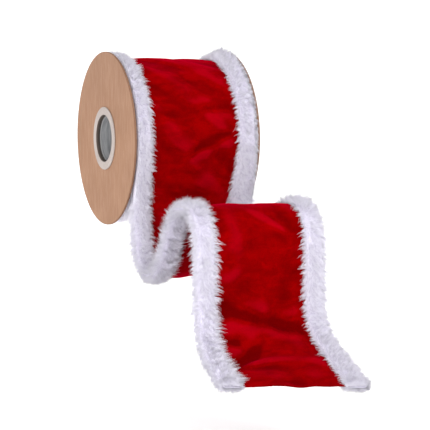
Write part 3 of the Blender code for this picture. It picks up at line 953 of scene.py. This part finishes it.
def mapHairs(piece, tips, tints):
    # the OFBake map: a hair's tint across it and its height up it, with a little width
    corners = np.zeros(len(piece.data.loops), int)
    piece.data.loops.foreach_get("vertex_index", corners)
    starts = np.zeros(len(piece.data.polygons), int)
    piece.data.polygons.foreach_get("loop_start", starts)
    turn = np.arange(len(corners)) - np.repeat(starts, np.diff(np.append(starts, len(corners))))
    across = 0.01 + tints[corners] * 0.96 + np.array([0, 0.012, 0.006, 0.0])[turn % 4]
    up = 0.01 + tips[corners] * 0.96 + np.array([0, 0, 0.008, 0.012])[turn % 4]
    layer = piece.data.uv_layers.new(name="OFBake")
    layer.data.foreach_set("uv", np.stack([across, up], -1).ravel())


for sideName, side in (("left", -1), ("right", 1)):
    onRoll = trimLength(f"{sideName}RollFur", side, turnStart, 0.0, [f"wound_{sideName}_fur"])
    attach(onRoll, "reel")
    nodes = [f"loop_{sideName}_fur"]
    hanging = trimLength(f"{sideName}HangingFur", side, 0.0, splitLength, nodes)
    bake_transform(hanging)
    nodes = [f"loop_{sideName}_fur", f"tail_{sideName}_fur"]
    trailing = trimLength(f"{sideName}TrailingFur", side, splitLength, None, nodes)
    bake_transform(trailing)
print("fur grown")

# ---- the wires in the hems

hemWire = {"radius": 0.4 * mm, "across": 46.8 * mm, "step": 4 * mm}


def layWire(name, side, first, last, node):
    # a round wire along one hem, as a curve that is made a mesh
    across = hemWire["across"] * side
    end = float(cutLength(np.array([across]), 0.0)[0]) - 3 * mm if last is None else last
    places = onRibbon(np.linspace(first, end, int((end - first) / hemWire["step"]) + 1), across, 0.0)
    line = bpy.data.curves.new(name, "CURVE")
    line.dimensions = "3D"
    line.bevel_depth = hemWire["radius"]
    line.bevel_resolution = 2
    line.use_fill_caps = True
    spline = line.splines.new("POLY")
    spline.points.add(len(places) - 1)
    spline.points.foreach_set("co", np.column_stack([places, np.ones(len(places))]).ravel())
    wire = bpy.data.objects.new(name, line)
    bpy.context.scene.collection.objects.link(wire)
    bpy.ops.object.select_all(action="DESELECT")
    wire.select_set(True)
    bpy.context.view_layer.objects.active = wire
    bpy.ops.object.convert(target="MESH")
    wire = bpy.context.object
    wire.data.materials.clear()
    wire.data.materials.append(finishes["wire"])
    wire.data.shade_smooth()
    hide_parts(node)
    return wire


for sideName, side in (("left", -1), ("right", 1)):
    upperWire = layWire(f"{sideName}UpperWire", side, 0.0, splitLength, f"loop_{sideName}_wire")
    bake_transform(upperWire)
    lowerWire = layWire(f"{sideName}LowerWire", side, splitLength, None, f"tail_{sideName}_wire")
    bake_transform(lowerWire)
print("wires laid")

# ---- the turns underneath

turns = {
    "hole": 22.3 * mm,
    "below": 2.3 * mm,  # from the outer turn's middle to the turn under it
    "sides": 144,
    "layer": 2.8 * mm,
    "groove": 0.5 * mm,
}


def innerTurns(name, xFrom, xTo, finish, node):
    # the wound ribbon under the outer turn, with the edges of its turns showing on its sides
    angles = ribbon["leavingAngle"] + np.linspace(0, 2 * math.pi, turns["sides"] + 1)
    pitch = ribbon["turnPitch"]
    outer = ribbon["rollRadius"] - turns["below"] - pitch + pitch * np.linspace(0, 1, len(angles))
    levels = 4 * int((outer.min() - turns["hole"]) / turns["layer"])
    groove = turns["groove"]
    profile = []
    for x, inward, order in ((xFrom, 1, range(levels + 1)), (xTo, -1, range(levels, -1, -1))):
        for k in order:
            dip = groove * (k % 4 == 2)
            profile.append((x + inward * (groove - dip), k / levels))
    places, shares = np.array(profile).T
    rows = []
    for angle, reach in zip(angles, outer):
        radius = turns["hole"] + (reach - turns["hole"]) * shares
        rows.append(np.stack([places, -math.cos(angle) * radius, -math.sin(angle) * radius], -1))
    points = np.array(rows)
    columns = len(profile)
    faces = gridFaces(len(rows), columns, True).tolist()
    lastRow = (len(rows) - 1) * columns
    faces += [list(range(columns))[::-1], list(range(lastRow, lastRow + columns))]
    piece = newMesh(name, points.reshape(-1, 3), faces, finish)
    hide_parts(node)
    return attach(piece, "reel")


inner = ribbon["halfWidth"] - ribbon["furBand"]
seam = 0.15 * mm
core = innerTurns(
    "innerVelvet", -inner + seam, inner - seam, finishes["velvet"], "wound_velvet"
)
addAttribute(core, "back", np.zeros(len(core.data.vertices)))
core.data.uv_layers.new(name="cloth")
for sideName, side in (("left", -1), ("right", 1)):
    low, high = sorted((side * (inner + seam), side * ribbon["halfWidth"]))
    under = innerTurns(
        f"{sideName}InnerFur", low, high, finishes["fur"], f"wound_{sideName}_fur"
    )
    addAttribute(under, "tip", np.full(len(under.data.vertices), 0.3))
    addAttribute(under, "tint", np.full(len(under.data.vertices), 0.3))
print("inner turns wound")

# ---- the studio

studio = {
    "floorHeight": -0.215,
    "floorSize": 6.0,
    "floorStretch": 3.0,  # how much wider it is than deep
    "paper": ((0.96, 0.96, 0.96), (0.975, 0.975, 0.975)),
    "cameraPlace": (-552.05 * mm, -1413.52 * mm, 56.13 * mm),
    "cameraAim": (0.38710, 0.91865, -0.07895),
    "lens": 154.49,
    "worldStrength": 0.85,
    "paperGlow": 0.3,
    "lamps": (  # name, place, size, power, and what it points at
        ("key", (0.2, -1.6, 1.8), 1.6, 28, (0, -0.1, -0.05)),
        ("front", (-1.0, -2.2, 0.0), 1.2, 6, (0, -0.1, -0.08)),
        ("left", (-1.7, -1.5, -0.14), 1.2, 22, (0, -0.05, -0.08)),
    ),
}


def setUpStudio():
    bpy.ops.object.select_all(action="DESELECT")
    bpy.ops.mesh.primitive_plane_add(size=studio["floorSize"], location=(0, 0.6, studio["floorHeight"]))
    floor = bpy.context.object
    floor.name = "floor"
    bpy.ops.object.mode_set(mode="EDIT")
    bpy.ops.mesh.select_all(action="SELECT")
    bpy.ops.transform.resize(value=(studio["floorStretch"], 1, 1))
    bpy.ops.mesh.select_all(action="DESELECT")
    bpy.ops.object.mode_set(mode="OBJECT")
    for edge in floor.data.edges:
        edge.select = all(floor.data.vertices[v].co.y > 0 for v in edge.vertices)
    bpy.ops.object.mode_set(mode="EDIT")
    bpy.ops.mesh.select_mode(type="EDGE")
    bpy.ops.mesh.extrude_region_move(TRANSFORM_OT_translate={"value": (0, 0, 3.0)})
    bpy.ops.object.mode_set(mode="OBJECT")
    bend = floor.modifiers.new("sweep", "BEVEL")
    bend.width = 1.2
    bend.segments = 16
    bpy.ops.object.modifier_apply(modifier="sweep")
    bpy.ops.object.shade_smooth()
    paper = Finish("paper", Roughness=0.9, Emission_Strength=studio["paperGlow"])
    paper.shader.inputs["Emission Color"].default_value = (1, 1, 1, 1)
    grain = paper.noise(paper.place(), 40, 2, 0.5)
    tone = paper.mix(grain, *studio["paper"])
    floor.data.materials.append(paper.wear(Base_Color=tone))

    world = bpy.data.worlds.new("studio")
    bpy.context.scene.world = world
    world.use_nodes = True
    backdrop = world.node_tree.nodes["Background"]
    backdrop.inputs["Color"].default_value = (1, 1, 1, 1)
    backdrop.inputs["Strength"].default_value = studio["worldStrength"]

    for name, place, size, power, aim in studio["lamps"]:
        bpy.ops.object.light_add(type="AREA", location=place)
        lamp = bpy.context.object
        lamp.name = name
        lamp.data.shape = "DISK"
        lamp.data.size = size
        lamp.data.energy = power
        lamp.rotation_euler = (Vector(aim) - Vector(place)).to_track_quat("-Z", "Y").to_euler()

    bpy.ops.object.camera_add(location=studio["cameraPlace"])
    camera = bpy.context.object
    camera.rotation_euler = Vector(studio["cameraAim"]).to_track_quat("-Z", "Y").to_euler()
    camera.data.lens = studio["lens"]
    camera.data.sensor_width = 36
    camera.data.clip_end = 30
    bpy.context.scene.camera = camera
    bpy.context.scene.view_settings.view_transform = "Standard"


setUpStudio()
print("studio set")
